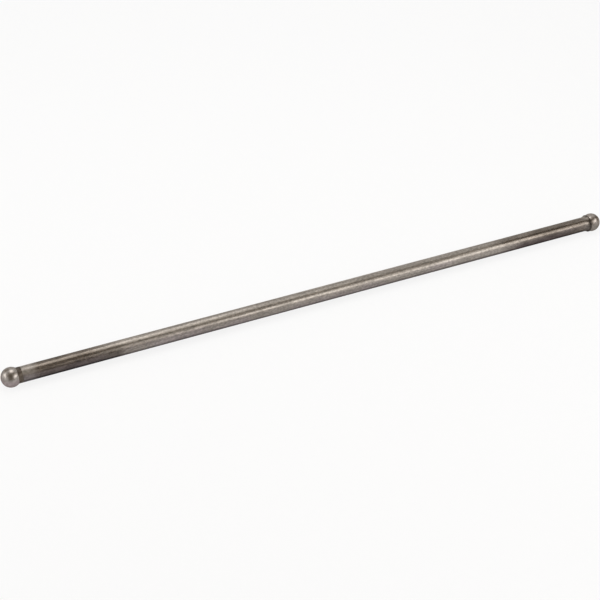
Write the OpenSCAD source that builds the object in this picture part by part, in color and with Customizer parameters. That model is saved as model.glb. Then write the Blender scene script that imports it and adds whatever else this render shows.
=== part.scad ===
// Engine pushrod: a drawn steel tube with a ground ball end pressed into each mouth.
// The rod lies along X, with the centre of the tappet ball at the origin.

/* [Overall] */
// Length over the two balls
overall_length = 275; // [150:0.5:420]

/* [Tube] */
// Outside diameter of the tube
tube_d = 6.35; // [5.4:0.05:7.4]
// Thickness of the tube wall
tube_wall = 0.9; // [0.5:0.05:1.5]
// Edge break at the square-cut end of the tube
tube_edge_break = 0.15; // [0.05:0.05:0.2]
// Length of the belled end of the tube
bell_length = 2.5; // [1.6:0.1:5]
// Thickness of the rounded lip at the mouth of the bell
bell_lip = 0.34; // [0.2:0.02:0.6]
// How far the lip stays behind the centre of the ball
lip_setback = 2; // [1.2:0.05:2.4]

/* [Tappet ball end] */
// Diameter of the ball that sits in the tappet
tappet_ball_d = 7.94; // [6.8:0.01:12]
// Length of the shoulder that shows between this ball and the tube
shoulder_length = 1.6; // [0.5:0.1:6]

/* [Rocker ball end] */
// Diameter of the ball that sits in the rocker arm
rocker_ball_d = 7.94; // [7.4:0.01:12]

/* [Pressed shanks] */
// Length of each shank in the bore
shank_length = 10; // [4:0.5:25]
// Lead-in chamfer at the tip of each shank
shank_lead = 0.6; // [0.2:0.1:1]
// Gap left all round between the tube and what is pressed into it
press_gap = 0.01; // [0.005:0.005:0.05]

/* [Hidden] */
$fn = 96;

drawn_steel = "#8c837a";
ground_steel = "#aaa19b";
dark_shoulder = "#4b4138";

// Radii
tube_r = tube_d / 2;
bore_r = tube_r - tube_wall;
tappet_ball_r = tappet_ball_d / 2;
rocker_ball_r = rocker_ball_d / 2;
shank_r = bore_r - press_gap;
seat_r = rocker_ball_r + press_gap;
mouth_r = sqrt(seat_r^2 - lip_setback^2);
bell_r = mouth_r + bell_lip;

// Places along the rod, measured from the centre of the tappet ball
rod_length = overall_length - tappet_ball_r - rocker_ball_r;
tube_start = sqrt(tappet_ball_r^2 - tube_r^2) + shoulder_length;
tube_end = rod_length - lip_setback;

// The bell's outline is a hollow arc off the tube that runs into the rounded lip
bell_run = bell_length - bell_lip;
bell_angle = 2 * atan((bell_r - tube_r) / bell_run);
flare_r = bell_run / sin(bell_angle) - bell_lip;
flare_centre = [tube_r + flare_r, tube_end - bell_length];
lip_centre = [mouth_r, tube_end - bell_lip];

// Inside the bell the tube follows the ball, from the bore out to the lip
seat_centre = [0, rod_length];
seat_depth = sqrt(seat_r^2 - bore_r^2);
arc_steps = 12;

// Points along an arc, without its first one
function arc(centre, radius, from, to) = [
    for (i = [1:arc_steps])
        let (angle = from + (to - from) * i / arc_steps)
        centre + radius * [cos(angle), sin(angle)]
];

// Turns an outline, drawn as radius and distance, about the rod's axis
module turned_along_rod() {
    rotate([0, 90, 0]) rotate_extrude() children();
}

// Outline of the tip of a pressed shank, with the lead-in chamfer
function shank_tip(root) = [
    [shank_r, root + shank_length - shank_lead],
    [shank_r - shank_lead, root + shank_length],
    [0, root + shank_length]
];

module tube() {
    bore = [
        [bore_r + tube_edge_break, tube_start],
        [bore_r, tube_start + tube_edge_break],
        [bore_r, rod_length - seat_depth]
    ];
    seat = arc(seat_centre, seat_r, -asin(seat_depth / seat_r), -asin(lip_setback / seat_r));
    lip = arc(lip_centre, bell_lip, 90, -bell_angle);
    flare = arc(flare_centre, flare_r, 180 - bell_angle, 180);
    square_end = [
        [tube_r, tube_start + tube_edge_break],
        [tube_r - tube_edge_break, tube_start]
    ];
    color(drawn_steel) turned_along_rod() polygon(concat(bore, seat, lip, flare, square_end));
}

module tappet_ball_end() {
    shoulder = [[0, 0], [tube_r, 0], [tube_r, tube_start], [shank_r, tube_start]];
    color(ground_steel) sphere(tappet_ball_r);
    color(dark_shoulder) turned_along_rod()
        polygon(concat(shoulder, shank_tip(tube_start)));
}

module rocker_ball_end() {
    translate([rod_length, 0, 0]) mirror([1, 0, 0]) {
        color(ground_steel) sphere(rocker_ball_r);
        color(dark_shoulder) turned_along_rod()
            polygon(concat([[0, 0], [shank_r, 0]], shank_tip(seat_depth)));
    }
}

tube();
tappet_ball_end();
rocker_ball_end();
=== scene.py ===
import math
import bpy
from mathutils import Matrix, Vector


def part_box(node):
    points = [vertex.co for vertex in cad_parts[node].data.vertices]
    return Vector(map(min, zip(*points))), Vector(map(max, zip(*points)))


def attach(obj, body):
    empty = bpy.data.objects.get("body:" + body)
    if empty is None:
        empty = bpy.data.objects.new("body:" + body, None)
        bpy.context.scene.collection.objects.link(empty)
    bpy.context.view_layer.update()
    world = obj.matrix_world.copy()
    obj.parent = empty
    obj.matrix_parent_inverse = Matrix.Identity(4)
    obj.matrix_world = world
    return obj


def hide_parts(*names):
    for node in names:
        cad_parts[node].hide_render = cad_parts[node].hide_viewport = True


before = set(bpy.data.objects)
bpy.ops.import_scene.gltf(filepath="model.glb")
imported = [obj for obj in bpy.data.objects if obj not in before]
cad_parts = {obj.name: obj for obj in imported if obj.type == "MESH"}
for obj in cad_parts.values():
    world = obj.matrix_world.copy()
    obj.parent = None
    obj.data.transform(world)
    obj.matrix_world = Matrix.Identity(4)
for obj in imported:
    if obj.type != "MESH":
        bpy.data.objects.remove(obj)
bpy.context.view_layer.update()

from types import SimpleNamespace

import bpy
from mathutils import Vector

MM = 0.001

# Sizes that the frame gives
_, TAPPET_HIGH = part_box("tappet_ball_end")
ROCKER_LOW, ROCKER_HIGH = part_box("rocker_ball_end")
TUBE_LOW, TUBE_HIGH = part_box("tube")
TAPPET_BALL_R = TAPPET_HIGH.z
TAPPET_SHANK_TIP = TAPPET_HIGH.x
ROCKER_BALL_R = ROCKER_HIGH.z
ROCKER_BALL_X = ROCKER_HIGH.x - ROCKER_BALL_R
ROCKER_SHANK_TIP = ROCKER_LOW.x
TUBE_START = TUBE_LOW.x
TUBE_END = TUBE_HIGH.x

# Sizes of the turned pieces
TUBE_R = 3.175 * MM
TUBE_WALL = 0.9 * MM
TUBE_EDGE_BREAK = 0.15 * MM
BELL_LENGTH = 2.5 * MM
BELL_LIP = 0.34 * MM
SHANK_LEAD = 0.6 * MM
PRESS_GAP = 0.01 * MM
BORE_R = TUBE_R - TUBE_WALL
SHANK_R = BORE_R - PRESS_GAP
SEAT_R = ROCKER_BALL_R + PRESS_GAP
MOUTH_R = math.sqrt(SEAT_R ** 2 - (ROCKER_BALL_X - TUBE_END) ** 2)
BELL_R = MOUTH_R + BELL_LIP

# How fine the meshes are, and how their sharp edges are rounded
TURN_SIDES = 128
BALL_RINGS = 60
ARC_STEPS = 16
TUBE_SECTIONS = 48
MERGE_GAP = 0.0005 * MM
EDGE_ROUND = 0.03 * MM
EDGE_ROUND_STEPS = 2
SHARP_FROM = math.radians(25)
SMOOTH_UP_TO = math.radians(30)

# Patterns in the steel: how often each repeats along the rod and across it, per metre
GRAIN = (25, 1400, 1400)
FINE_GRAIN = (60, 5200, 5200)
TUBE_SPECKLE = (850, 1300, 1300)
TUBE_MOTTLE = (140, 420, 420)
PATCHES = (45, 160, 160)
GRINDING_MARKS = (4200, 160, 160)
BALL_SPECKLE = (900, 900, 900)
BALL_MOTTLE = (420, 420, 420)
PATTERN_ROUGHNESS = 0.55

# The span of a pattern's values over which it goes from nothing to full
PATTERN_SPAN = (0.3, 0.7)
MOTTLE_SPAN = (0.35, 0.65)
BLUSH_SPAN = (0.42, 0.62)

# Zones of the tube: the places along the rod between which each one comes or goes
NEAR_RUB = (TUBE_START + 3 * MM, TUBE_START + 7 * MM)
NEAR_OXIDE = (TUBE_START + 31 * MM, TUBE_START + 45 * MM)
FAR_OXIDE = (TUBE_END - 52 * MM, TUBE_END - 31 * MM)
# Where the painted shade low on the tube thins out towards the bell
FAR_SHADE_LIFT = (TUBE_END - 12 * MM, TUBE_END - 5 * MM)
# Where the bell's rub takes off oxide
BELL_RUB = (TUBE_END - 4 * MM, TUBE_END - 2 * MM)
# Where soot and painted shade darken the bell by its lip
LIP_SHADE = (TUBE_END - 1.5 * MM, TUBE_END - 0.6 * MM)
OXIDE_WANDER = 6 * MM
OXIDE_LEAN = 6 * MM

# Bands of the tube: the heights between which each one comes or goes
LEAN_BAND = (0.4 * TUBE_R, TUBE_R)
# Painted shade low on the tube lies in these two bands
LOW_SHADE_BAND = (-0.7 * TUBE_R, 0.0)
OXIDE_SHADE_BAND = (0.0, 0.6 * TUBE_R)
# Where the painted violet reflection lies
BLUSH_BAND = (0.1 * TUBE_R, 0.7 * TUBE_R)
# How far the painted shade rises towards the near end
SHADE_RISE = 0.18 * TUBE_R

# The far oxide thins from the front of the tube to its back, which paints a sheen along the tube's
# top rim
RIM_SHEEN_BAND = (-0.24 * TUBE_R, 0.15 * TUBE_R)

# Colours of the tube, where a pair is the dark and the light of a pattern
CLEAN_STEEL = ((0.266, 0.241, 0.214), (0.314, 0.285, 0.253))
BROWN_OXIDE = ((0.128, 0.109, 0.091), (0.203, 0.175, 0.150))
GRAIN_SHADES = ((0.80, 0.79, 0.78), (1.14, 1.14, 1.14))
TUBE_SPECKLE_SHADES = ((0.80, 0.80, 0.80), (1.20, 1.20, 1.20))
# Painted shade low on the tube
PAINTED_SHADE_COLOUR = (0.022, 0.017, 0.021)
# Soot and painted shade on the bell by its lip
LIP_SOOT_AND_SHADE = (0.026, 0.020, 0.016)
# A painted violet reflection low on the tube
PAINTED_REFLECTION_TINT = (1.0, 0.97, 1.05)

# How strongly each kind of wear, and the painted shade low on the tube, acts on the tube's finish
# Share of the far oxide left at the tube's back, for the painted sheen along its top rim
RIM_SHEEN_OXIDE = 0.6
# How much of its oxide the bell's rub takes off
BELL_RUBBED = 0.4
# Painted shade low on the tube, which the rubbed zones lift and the bell's rub deepens
LOW_PAINTED_SHADE = 0.95
OXIDE_PAINTED_SHADE = 0.5
NEAR_RUB_LIFTS_SHADE = 0.1
FAR_END_LIFTS_SHADE = 0.35
BELL_RUB_ADDS_SHADE = 0.6
# Soot and painted shade at the lip
LIP_SHADED = 0.7
# Least share of the painted violet reflection in its patches
LEAST_BLUSH = 0.2
# Oxide and rubbing on the tube's roughness and shine
OXIDE_SMOOTHS = 0.14
NEAR_OXIDE_DULLS = 0.25
FAR_OXIDE_DULLS = 0.12
NEAR_RUB_DULLS = 0.2

# Finish of the balls, with dark heat scale on the near ball's shoulder, and soot and painted shade in
# the groove by the bell
TAPPET_LOOK = SimpleNamespace(
    ball_x=0,
    ball_r=TAPPET_BALL_R,
    dark_x=math.sqrt(TAPPET_BALL_R ** 2 - TUBE_R ** 2),
    bare=((0.280, 0.252, 0.228), (0.338, 0.306, 0.278)),
    # Painted reflection on the lower side
    painted_underside=(0.290, 0.233, 0.243),
    roughness=0.30,
    fade=0.25 * MM)
ROCKER_LOOK = SimpleNamespace(
    ball_x=ROCKER_BALL_X,
    ball_r=ROCKER_BALL_R,
    # On the far ball the dark by the lip is soot and painted shade
    dark_x=TUBE_END + 0.05 * MM,
    bare=((0.264, 0.233, 0.207), (0.319, 0.284, 0.253)),
    # Painted shade on the lower side
    painted_underside=(0.166, 0.149, 0.131),
    roughness=0.27,
    fade=0.2 * MM)
# Heat scale on the near ball, and soot and painted shade on the far ball by the lip
DARK_SCALE_AND_SHADE = ((0.068, 0.054, 0.043), (0.114, 0.093, 0.074))
BALL_SPECKLE_SHADES = ((0.88, 0.88, 0.88), (1.12, 1.12, 1.12))
MARKS_ROUGHEN = 0.07
SCALE_ROUGHENS = 0.1
SCALE_METALLIC = 0.7

# Painted reflection and shade on a ball's lower side, at heights that are shares of its radius
UNDERSIDE_FULL_AT = -0.1
UNDERSIDE_GONE_AT = 0.35
UNDERSIDE_SHARE = 0.6

# Roughness of the tube from the dark to the light of its grain
TUBE_ROUGHNESS = (0.42, 0.34)

# Strength and depth of the relief
FINE_GRAIN_RELIEF = (0.12, 0.02 * MM)
MARKS_RELIEF = (0.1, 0.01 * MM)

# Metal at a grazing angle, where these worn surfaces stay darker than clean metal
BALL_EDGE = (0.5, 0.47, 0.45)
TUBE_EDGE = (0.76, 0.72, 0.69)
OXIDE_EDGE = (0.30, 0.28, 0.26)

# Softboxes, in millimetres: a place, a width, a height, the brightness and the point it faces
SOFTBOXES = {
    "softbox_overhead": ((113, 107, 500), 290, 330, 2.6, (113, 107, 0)),
    "softbox_right": ((411, -366, 262), 550, 255, 2.4, (124, -8, 0)),
    "softbox_left": ((-280, 50, 155), 240, 125, 2.6, (40, 0, 0)),
}

# Dark cards outside the picture, in millimetres: the four corners of each
FLAGS = {
    "front_flag": ((-900, -900, 0), (500, -900, 0), (500, -900, 900), (-900, -900, 900)),
    "top_flag": ((-900, -900, 700), (900, -900, 700), (900, 60, 700), (-900, 60, 700)),
    "back_flag": ((-900, 900, 420), (30, 900, 420), (30, 900, 1400), (-900, 900, 1400)),
    "right_flag": ((800, -380, 40), (800, 250, 40), (800, 250, 450), (800, -380, 450)),
}
FLAG_COLOUR = (0.50, 0.435, 0.355, 1)

# Floor and surroundings
FLOOR_Z = -TAPPET_BALL_R
FLOOR_SIZE = 8.0
FLOOR_GLOW = 0.85
PAPER_COLOUR = (0.95, 0.95, 0.95, 1)
PAPER_ROUGHNESS = 0.9
WHITE = (1, 1, 1, 1)
AMBIENT = 0.65

# Camera, as far from the rod as the taper of its outline says
CAMERA_AT = Vector((-100.19, -454.47, 329.85)) * MM
CAMERA_AZIMUTH = 26.09
CAMERA_ELEVATION = 33.10
CAMERA_LENS = 88.2
CAMERA_SENSOR = 36.0
CAMERA_NEAREST = 0.01
CAMERA_FARTHEST = 50.0


# Modelling

def deselect_all():
    bpy.ops.object.select_all(action="DESELECT")


def place_in_mesh():
    """Moves the new object's place and turn into its mesh."""
    bpy.ops.object.transform_apply(location=True, rotation=True, scale=True)


def open_for_editing():
    """Opens the new object in edit mode with all of it selected."""
    bpy.ops.object.mode_set(mode="EDIT")
    bpy.ops.mesh.select_all(action="SELECT")


def new_ring(x, radius):
    """Adds a bare ring of edges about the rod's axis and opens it for editing."""
    deselect_all()
    bpy.ops.mesh.primitive_circle_add(
        vertices=TURN_SIDES, radius=radius, location=(x, 0, 0), rotation=(0, math.pi / 2, 0))
    place_in_mesh()
    open_for_editing()


def new_cut_ball(x, radius, seat_x):
    """Adds a ball with its poles on the rod's axis, and cuts it off at its seat.

    The ring of the cut is left selected.
    """
    deselect_all()
    bpy.ops.mesh.primitive_uv_sphere_add(
        segments=TURN_SIDES, ring_count=BALL_RINGS, radius=radius,
        location=(x, 0, 0), rotation=(0, math.pi / 2, 0))
    place_in_mesh()
    open_for_editing()
    bpy.ops.mesh.bisect(
        plane_co=(seat_x, 0, 0), plane_no=(math.copysign(1, seat_x - x), 0, 0), clear_outer=True,
        threshold=MERGE_GAP)


def extrude_through(rings):
    """Carries the selected ring on through the next ones, each a place along the rod and a radius."""
    for (x_before, r_before), (x, r) in zip(rings, rings[1:]):
        bpy.ops.mesh.extrude_region_move(TRANSFORM_OT_translate={"value": (x - x_before, 0, 0)})
        if r != r_before:
            scale = r / r_before
            bpy.ops.transform.resize(value=(1, scale, scale), center_override=(x, 0, 0))


def arc(centre, radius, start, end):
    """Points of an arc from one angle to another, in degrees from the rod's axis."""
    angles = [math.radians(start + (end - start) * i / ARC_STEPS) for i in range(ARC_STEPS + 1)]
    return [(centre[0] + radius * math.cos(a), centre[1] + radius * math.sin(a)) for a in angles]


def round_edges(piece):
    """Rounds the sharp edges finely and shades the rest smooth."""
    edges = piece.modifiers.new("edge_round", "BEVEL")
    edges.width = EDGE_ROUND
    edges.segments = EDGE_ROUND_STEPS
    edges.limit_method = "ANGLE"
    edges.angle_limit = SHARP_FROM
    bpy.ops.object.modifier_apply(modifier=edges.name)
    bpy.ops.object.shade_smooth_by_angle(angle=SMOOTH_UP_TO)


def finish_turning(name):
    """Closes the mesh, points it outwards, names the piece and rounds its edges."""
    bpy.ops.mesh.select_all(action="SELECT")
    bpy.ops.mesh.remove_doubles(threshold=MERGE_GAP)
    bpy.ops.mesh.normals_make_consistent(inside=False)
    bpy.ops.object.mode_set(mode="OBJECT")
    piece = bpy.context.object
    piece.name = name
    piece.data.name = name
    round_edges(piece)
    return piece


def fit(piece, node, material):
    """Stands the piece in for its CAD node, with its finish."""
    piece.data.materials.append(material)
    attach(piece, "root")
    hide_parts(node)


# Pieces

def bell_and_lip():
    """The outside of the bell: a hollow arc off the tube that runs into the rounded lip."""
    bell_run = BELL_LENGTH - BELL_LIP
    bell_angle = 2 * math.degrees(math.atan((BELL_R - TUBE_R) / bell_run))
    flare_r = bell_run / math.sin(math.radians(bell_angle)) - BELL_LIP
    flare = arc((TUBE_END - BELL_LENGTH, TUBE_R + flare_r), flare_r, -90, bell_angle - 90)
    lip = arc((TUBE_END - BELL_LIP, MOUTH_R), BELL_LIP, 90 + bell_angle, 0)
    return flare + lip[1:]


def ball_seat():
    """The inside of the bell, which follows the ball from the lip down to the bore."""
    turns = [180 - math.degrees(math.asin(r / SEAT_R)) for r in (MOUTH_R, BORE_R)]
    return arc((ROCKER_BALL_X, 0), SEAT_R, *turns)


def turned_tube():
    """The tube, from its square-cut end over the bell and back through the bore."""
    first = (TUBE_START, TUBE_R - TUBE_EDGE_BREAK)
    shaft_start = TUBE_START + TUBE_EDGE_BREAK
    step = (TUBE_END - BELL_LENGTH - shaft_start) / TUBE_SECTIONS
    shaft = [(shaft_start + step * i, TUBE_R) for i in range(TUBE_SECTIONS)]
    bore = [(shaft_start, BORE_R), (TUBE_START, BORE_R + TUBE_EDGE_BREAK)]
    new_ring(*first)
    extrude_through([first] + shaft + bell_and_lip() + ball_seat()[1:] + bore)
    bpy.ops.mesh.select_all(action="DESELECT")
    bpy.ops.mesh.select_non_manifold(extend=False)
    bpy.ops.mesh.bridge_edge_loops()
    return finish_turning("drawn_tube")


def pressed_ball(name, ball_x, ball_r, root_r, shoulder, tip_x):
    """A ball cut off where its shoulder or shank begins, then carried on to the shank's tip."""
    inward = math.copysign(1, tip_x - ball_x)
    root_x = ball_x + inward * math.sqrt(ball_r ** 2 - root_r ** 2)
    new_cut_ball(ball_x, ball_r, root_x)
    tip = [(tip_x - inward * SHANK_LEAD, SHANK_R), (tip_x, SHANK_R - SHANK_LEAD)]
    extrude_through([(root_x, root_r)] + shoulder + tip)
    bpy.ops.mesh.edge_face_add()
    return finish_turning(name)


def turned_tappet_ball():
    """The near ball end, with a shoulder as wide as the tube."""
    shoulder = [(TUBE_START, TUBE_R), (TUBE_START, SHANK_R)]
    return pressed_ball("ground_tappet_ball", 0, TAPPET_BALL_R, TUBE_R, shoulder, TAPPET_SHANK_TIP)


def turned_rocker_ball():
    """The far ball end, whose shank starts straight from the ball."""
    return pressed_ball(
        "ground_rocker_ball", ROCKER_BALL_X, ROCKER_BALL_R, SHANK_R, [], ROCKER_SHANK_TIP)


# Materials

class Finish:
    """A material with its shader and short ways to add the nodes that the finishes use."""

    def __init__(self, name):
        self.material = bpy.data.materials.new(name)
        self.material.use_nodes = True
        self.nodes = self.material.node_tree.nodes
        self.links = self.material.node_tree.links
        self.shader = self.nodes["Principled BSDF"]
        self.object_place = self.nodes.new("ShaderNodeTexCoord").outputs["Object"]

    def put(self, value, socket):
        """Sets a colour or a number on a socket, or links another node's output to it."""
        if isinstance(value, tuple):
            socket.default_value = (*value, 1.0)
        elif isinstance(value, (int, float)):
            socket.default_value = value
        else:
            self.links.new(value, socket)

    def set_shader(self, name, value):
        self.put(value, self.shader.inputs[name])

    def place_along(self, axis):
        split = self.nodes.new("ShaderNodeSeparateXYZ")
        self.put(self.object_place, split.inputs[0])
        return split.outputs[axis]

    def pattern(self, scale, detail=4.0):
        """Noise with its own scale along the rod and across it."""
        mapping = self.nodes.new("ShaderNodeMapping")
        mapping.inputs["Scale"].default_value = scale
        self.put(self.object_place, mapping.inputs["Vector"])
        texture = self.nodes.new("ShaderNodeTexNoise")
        texture.inputs["Scale"].default_value = 1.0
        texture.inputs["Detail"].default_value = detail
        texture.inputs["Roughness"].default_value = PATTERN_ROUGHNESS
        self.put(mapping.outputs[0], texture.inputs["Vector"])
        return texture.outputs["Fac"]

    def ranged(self, value, span, to):
        """Carries a span of values over to another one, smoothly and level beyond its ends."""
        node = self.nodes.new("ShaderNodeMapRange")
        node.interpolation_type = "SMOOTHSTEP"
        self.put(value, node.inputs["Value"])
        for name, number in zip(("From Min", "From Max", "To Min", "To Max"), (*span, *to)):
            node.inputs[name].default_value = number
        return node.outputs["Result"]

    def math(self, operation, first, second):
        node = self.nodes.new("ShaderNodeMath")
        node.operation = operation
        for socket, value in zip(node.inputs, (first, second)):
            self.put(value, socket)
        return node.outputs[0]

    def plus(self, first, second):
        return self.math("ADD", first, second)

    def minus(self, first, second):
        return self.math("SUBTRACT", first, second)

    def times(self, first, second):
        return self.math("MULTIPLY", first, second)

    def most(self, first, second):
        return self.math("MAXIMUM", first, second)

    def mix(self, share, first, second, blend="MIX"):
        node = self.nodes.new("ShaderNodeMix")
        node.data_type = "RGBA"
        node.blend_type = blend
        node.clamp_factor = True
        sockets = (node.inputs[0], node.inputs[6], node.inputs[7])
        for socket, value in zip(sockets, (share, first, second)):
            self.put(value, socket)
        return node.outputs[2]

    def tint(self, colour, shade):
        """Multiplies a colour by a shade."""
        return self.mix(1.0, colour, shade, "MULTIPLY")

    def relief(self, height, strength, depth):
        node = self.nodes.new("ShaderNodeBump")
        node.inputs["Strength"].default_value = strength
        node.inputs["Distance"].default_value = depth
        self.put(height, node.inputs["Height"])
        self.set_shader("Normal", node.outputs["Normal"])


def tube_wear(finish, patches):
    """The shares of oxide, of rubbing and of lifted painted shade at each place on the tube."""
    along = finish.place_along("X")
    wander = finish.ranged(patches, PATTERN_SPAN, (-OXIDE_WANDER, OXIDE_WANDER))
    wandering = finish.plus(along, wander)
    lean = finish.ranged(finish.place_along("Z"), LEAN_BAND, (0, OXIDE_LEAN))
    # Thinner far oxide towards the back, a painted sheen along the top rim
    rim_sheen = finish.ranged(finish.place_along("Y"), RIM_SHEEN_BAND, (1, RIM_SHEEN_OXIDE))
    near_end = finish.ranged(wandering, NEAR_OXIDE, (1, 0))
    far_end = finish.ranged(finish.plus(wandering, lean), FAR_OXIDE, (0, 1))
    far_end = finish.times(far_end, rim_sheen)
    near_rub = finish.ranged(along, NEAR_RUB, (1, 0))
    # Thins the painted shade low on the tube towards the bell
    far_shade_lift = finish.ranged(along, FAR_SHADE_LIFT, (0, 1))
    bell_rub = finish.ranged(along, BELL_RUB, (0, BELL_RUBBED))
    oxide = finish.most(finish.minus(near_end, near_rub), finish.minus(far_end, bell_rub))
    return SimpleNamespace(
        near_end=near_end, far_end=far_end, near_rub=near_rub, far_shade_lift=far_shade_lift,
        bell_rub=bell_rub, oxide=oxide)


def oxidised_steel(finish, grain, oxide):
    """Clean steel that turns to brown oxide, with streaks along its grain and fine specks."""
    mottle = finish.ranged(finish.pattern(TUBE_MOTTLE, detail=5.0), MOTTLE_SPAN, (0, 1))
    speckle = finish.ranged(finish.pattern(TUBE_SPECKLE, detail=2.0), PATTERN_SPAN, (0, 1))
    streaks = finish.ranged(grain, PATTERN_SPAN, (0, 1))
    clean = finish.mix(mottle, *CLEAN_STEEL)
    brown = finish.mix(mottle, *BROWN_OXIDE)
    colour = finish.mix(oxide, clean, brown)
    colour = finish.tint(colour, finish.mix(streaks, *GRAIN_SHADES))
    return finish.tint(colour, finish.mix(speckle, *TUBE_SPECKLE_SHADES))


def painted_shade_below(finish, colour, wear):
    """Paints shade on the bottom of the tube all along, and on its lower half where there is oxide.
    """
    height = finish.place_along("Z")
    shade_height = finish.minus(height, finish.times(wear.near_end, SHADE_RISE))
    low_shade = finish.ranged(shade_height, LOW_SHADE_BAND, (LOW_PAINTED_SHADE, 0))
    shade_lifted = finish.plus(
        finish.times(wear.near_rub, NEAR_RUB_LIFTS_SHADE), finish.times(wear.far_shade_lift, FAR_END_LIFTS_SHADE))
    shade_lifted = finish.minus(shade_lifted, finish.times(wear.bell_rub, BELL_RUB_ADDS_SHADE))
    oxide_shade = finish.times(finish.most(wear.near_end, wear.far_end), OXIDE_PAINTED_SHADE)
    oxide_shade = finish.minus(oxide_shade, shade_lifted)
    lower_half = finish.ranged(height, OXIDE_SHADE_BAND, (1, 0))
    painted_shade = finish.most(low_shade, finish.times(lower_half, oxide_shade))
    return finish.mix(painted_shade, colour, PAINTED_SHADE_COLOUR)


def shaded_lip(finish, colour):
    """Darkens the bell towards its lip, with soot and painted shade."""
    share = finish.ranged(finish.place_along("X"), LIP_SHADE, (0, LIP_SHADED))
    return finish.mix(share, colour, LIP_SOOT_AND_SHADE)


def with_painted_reflection(finish, colour, patches):
    """Gives the lower side a faint violet tinge in patches, a painted reflection."""
    patchy = finish.ranged(patches, BLUSH_SPAN, (LEAST_BLUSH, 1))
    lower_side = finish.ranged(finish.place_along("Z"), BLUSH_BAND, (1, 0))
    return finish.mix(finish.times(patchy, lower_side), colour, finish.tint(colour, PAINTED_REFLECTION_TINT))


def drawn_steel():
    """Satin steel with a lengthwise grain and oxide near both ends, with painted shade low down and
    by the lip, and a painted violet reflection low on its side.
    """
    finish = Finish("drawn_steel")
    grain = finish.pattern(GRAIN)
    patches = finish.pattern(PATCHES, detail=3.0)
    wear = tube_wear(finish, patches)
    colour = oxidised_steel(finish, grain, wear.oxide)
    # Painted shade along the bottom of the tube
    colour = painted_shade_below(finish, colour, wear)
    colour = shaded_lip(finish, colour)
    # Painted violet reflection low on the tube
    finish.set_shader("Base Color", with_painted_reflection(finish, colour, patches))
    rough = finish.ranged(grain, PATTERN_SPAN, TUBE_ROUGHNESS)
    finish.set_shader("Roughness", finish.minus(rough, finish.times(wear.oxide, OXIDE_SMOOTHS)))
    dull = finish.plus(
        finish.times(wear.near_end, NEAR_OXIDE_DULLS), finish.times(wear.far_end, FAR_OXIDE_DULLS))
    dull = finish.plus(dull, finish.times(wear.near_rub, NEAR_RUB_DULLS))
    finish.set_shader("Metallic", finish.minus(1.0, dull))
    finish.set_shader("Specular Tint", finish.mix(wear.oxide, TUBE_EDGE, OXIDE_EDGE))
    finish.relief(finish.pattern(FINE_GRAIN, detail=2.0), *FINE_GRAIN_RELIEF)
    return finish.material


def ground_steel(name, look):
    """Bright ground steel with marks round the rod's axis, painted reflection and shade on its lower
    side, and dark from one place on: heat scale on the near ball, soot and painted shade by the far
    ball's lip.
    """
    finish = Finish(name)
    inward = math.copysign(1, look.dark_x - look.ball_x)
    dark_from = inward * look.dark_x
    marks = finish.pattern(GRINDING_MARKS, detail=3.0)
    speckle = finish.ranged(finish.pattern(BALL_SPECKLE, detail=2.0), PATTERN_SPAN, (0, 1))
    mottle = finish.ranged(finish.pattern(BALL_MOTTLE, detail=5.0), MOTTLE_SPAN, (0, 1))
    inward_place = finish.times(finish.place_along("X"), inward)
    # Heat scale on the near ball, soot and painted shade on the far ball
    scale = finish.ranged(inward_place, (dark_from - look.fade, dark_from), (0, 1))
    # Painted reflection and shade on the ball's lower side
    band = (UNDERSIDE_FULL_AT * look.ball_r, UNDERSIDE_GONE_AT * look.ball_r)
    painted_low_side = finish.ranged(finish.place_along("Z"), band, (UNDERSIDE_SHARE, 0))
    bright = finish.mix(painted_low_side, finish.mix(mottle, *look.bare), look.painted_underside)
    colour = finish.mix(scale, bright, finish.mix(mottle, *DARK_SCALE_AND_SHADE))
    colour = finish.tint(colour, finish.mix(speckle, *BALL_SPECKLE_SHADES))
    finish.set_shader("Base Color", colour)
    rough = finish.ranged(marks, PATTERN_SPAN, (look.roughness, look.roughness + MARKS_ROUGHEN))
    finish.set_shader("Roughness", finish.plus(rough, finish.times(scale, SCALE_ROUGHENS)))
    finish.set_shader("Metallic", finish.ranged(scale, (0, 1), (1.0, SCALE_METALLIC)))
    finish.set_shader("Specular Tint", BALL_EDGE)
    finish.relief(marks, *MARKS_RELIEF)
    return finish.material


# Studio

def facing(place, target):
    return (Vector(target) - Vector(place)).to_track_quat("-Z", "Y")


def softbox(name, place, width, height, brightness, target):
    """A rectangular softbox whose brightness is the share of white that it shows."""
    lamp = bpy.data.lights.new(name, "AREA")
    lamp.shape = "RECTANGLE"
    lamp.size = width * MM
    lamp.size_y = height * MM
    lamp.energy = brightness * math.pi * lamp.size * lamp.size_y
    item = bpy.data.objects.new(name, lamp)
    item.location = Vector(place) * MM
    item.rotation_mode = "QUATERNION"
    item.rotation_quaternion = facing(place, target)
    bpy.context.scene.collection.objects.link(item)


def background_share(tree):
    """One for a ray that shows the background, by itself or in metal or glass, and else nought."""
    path = tree.nodes.new("ShaderNodeLightPath")
    share = path.outputs["Is Camera Ray"]
    for name in ("Is Glossy Ray", "Is Transmission Ray"):
        either = tree.nodes.new("ShaderNodeMath")
        either.operation = "MAXIMUM"
        tree.links.new(share, either.inputs[0])
        tree.links.new(path.outputs[name], either.inputs[1])
        share = either.outputs[0]
    return share


def white_surroundings():
    """White to the eye and in reflections, and a low even light on everything else."""
    world = bpy.data.worlds.new("white_surroundings")
    world.use_nodes = True
    tree = world.node_tree
    strength = tree.nodes.new("ShaderNodeMapRange")
    strength.inputs["To Min"].default_value = AMBIENT
    strength.inputs["To Max"].default_value = 1.0
    tree.links.new(background_share(tree), strength.inputs["Value"])
    light = tree.nodes["Background"]
    light.inputs["Color"].default_value = WHITE
    tree.links.new(strength.outputs[0], light.inputs["Strength"])
    bpy.context.scene.world = world


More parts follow.
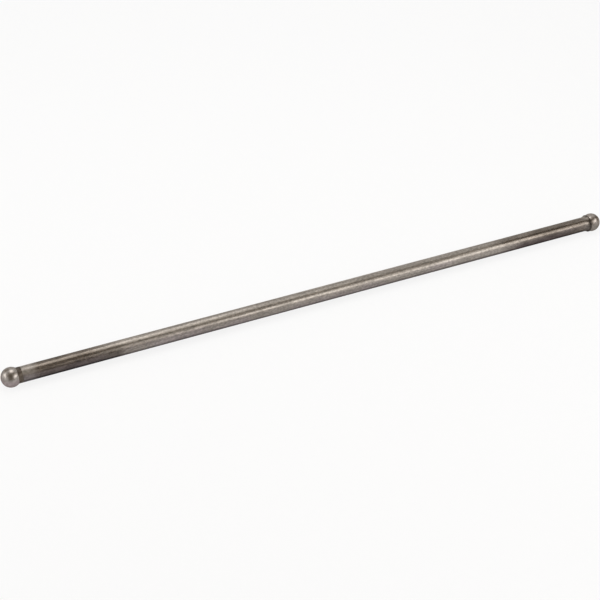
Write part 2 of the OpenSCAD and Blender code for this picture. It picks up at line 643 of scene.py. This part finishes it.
def matt_material(name, colour, roughness):
    """A material without any shine."""
    material = bpy.data.materials.new(name)
    material.use_nodes = True
    surface = material.node_tree.nodes["Principled BSDF"]
    surface.inputs["Base Color"].default_value = colour
    surface.inputs["Roughness"].default_value = roughness
    surface.inputs["Specular IOR Level"].default_value = 0.0
    return material


def white_paper():
    """Matt white paper that shows nearly as white as the background, and keeps shadows."""
    material = matt_material("white_floor", PAPER_COLOUR, PAPER_ROUGHNESS)
    tree = material.node_tree
    glow = tree.nodes.new("ShaderNodeEmission")
    glow.inputs["Strength"].default_value = 1.0
    share = tree.nodes.new("ShaderNodeMath")
    share.operation = "MULTIPLY"
    share.inputs[1].default_value = FLOOR_GLOW
    tree.links.new(background_share(tree), share.inputs[0])
    mix = tree.nodes.new("ShaderNodeMixShader")
    tree.links.new(share.outputs[0], mix.inputs["Fac"])
    tree.links.new(tree.nodes["Principled BSDF"].outputs[0], mix.inputs[1])
    tree.links.new(glow.outputs[0], mix.inputs[2])
    tree.links.new(mix.outputs[0], tree.nodes["Material Output"].inputs["Surface"])
    return material


def pale_floor():
    """A sheet of paper under the rod, with a faint shadow on it."""
    deselect_all()
    bpy.ops.mesh.primitive_plane_add(size=FLOOR_SIZE, location=(ROCKER_BALL_X / 2, 0, FLOOR_Z))
    floor = bpy.context.object
    floor.name = "white_floor"
    floor.data.materials.append(white_paper())


def dark_flag(name, corners):
    """A dark card that the metal reflects and the camera doesn't see."""
    mesh = bpy.data.meshes.new(name)
    mesh.from_pydata([Vector(c) * MM for c in corners], [], [(0, 1, 2, 3)])
    mesh.materials.append(matt_material(name, FLAG_COLOUR, 1.0))
    flag = bpy.data.objects.new(name, mesh)
    bpy.context.scene.collection.objects.link(flag)
    flag.visible_camera = False


def studio():
    white_surroundings()
    pale_floor()
    for name, values in SOFTBOXES.items():
        softbox(name, *values)
    for name, corners in FLAGS.items():
        dark_flag(name, corners)


def camera():
    lens = bpy.data.cameras.new("camera")
    lens.lens = CAMERA_LENS
    lens.sensor_width = CAMERA_SENSOR
    lens.clip_start = CAMERA_NEAREST
    lens.clip_end = CAMERA_FARTHEST
    item = bpy.data.objects.new("camera", lens)
    item.location = CAMERA_AT
    item.rotation_euler = (math.radians(90 - CAMERA_ELEVATION), 0, math.radians(-CAMERA_AZIMUTH))
    bpy.context.scene.collection.objects.link(item)
    bpy.context.scene.camera = item


def main():
    bpy.context.scene.view_settings.view_transform = "Standard"
    fit(turned_tube(), "tube", drawn_steel())
    fit(turned_tappet_ball(), "tappet_ball_end",
        ground_steel("ground_steel_tappet", TAPPET_LOOK))
    fit(turned_rocker_ball(), "rocker_ball_end",
        ground_steel("ground_steel_rocker", ROCKER_LOOK))
    studio()
    camera()


main()
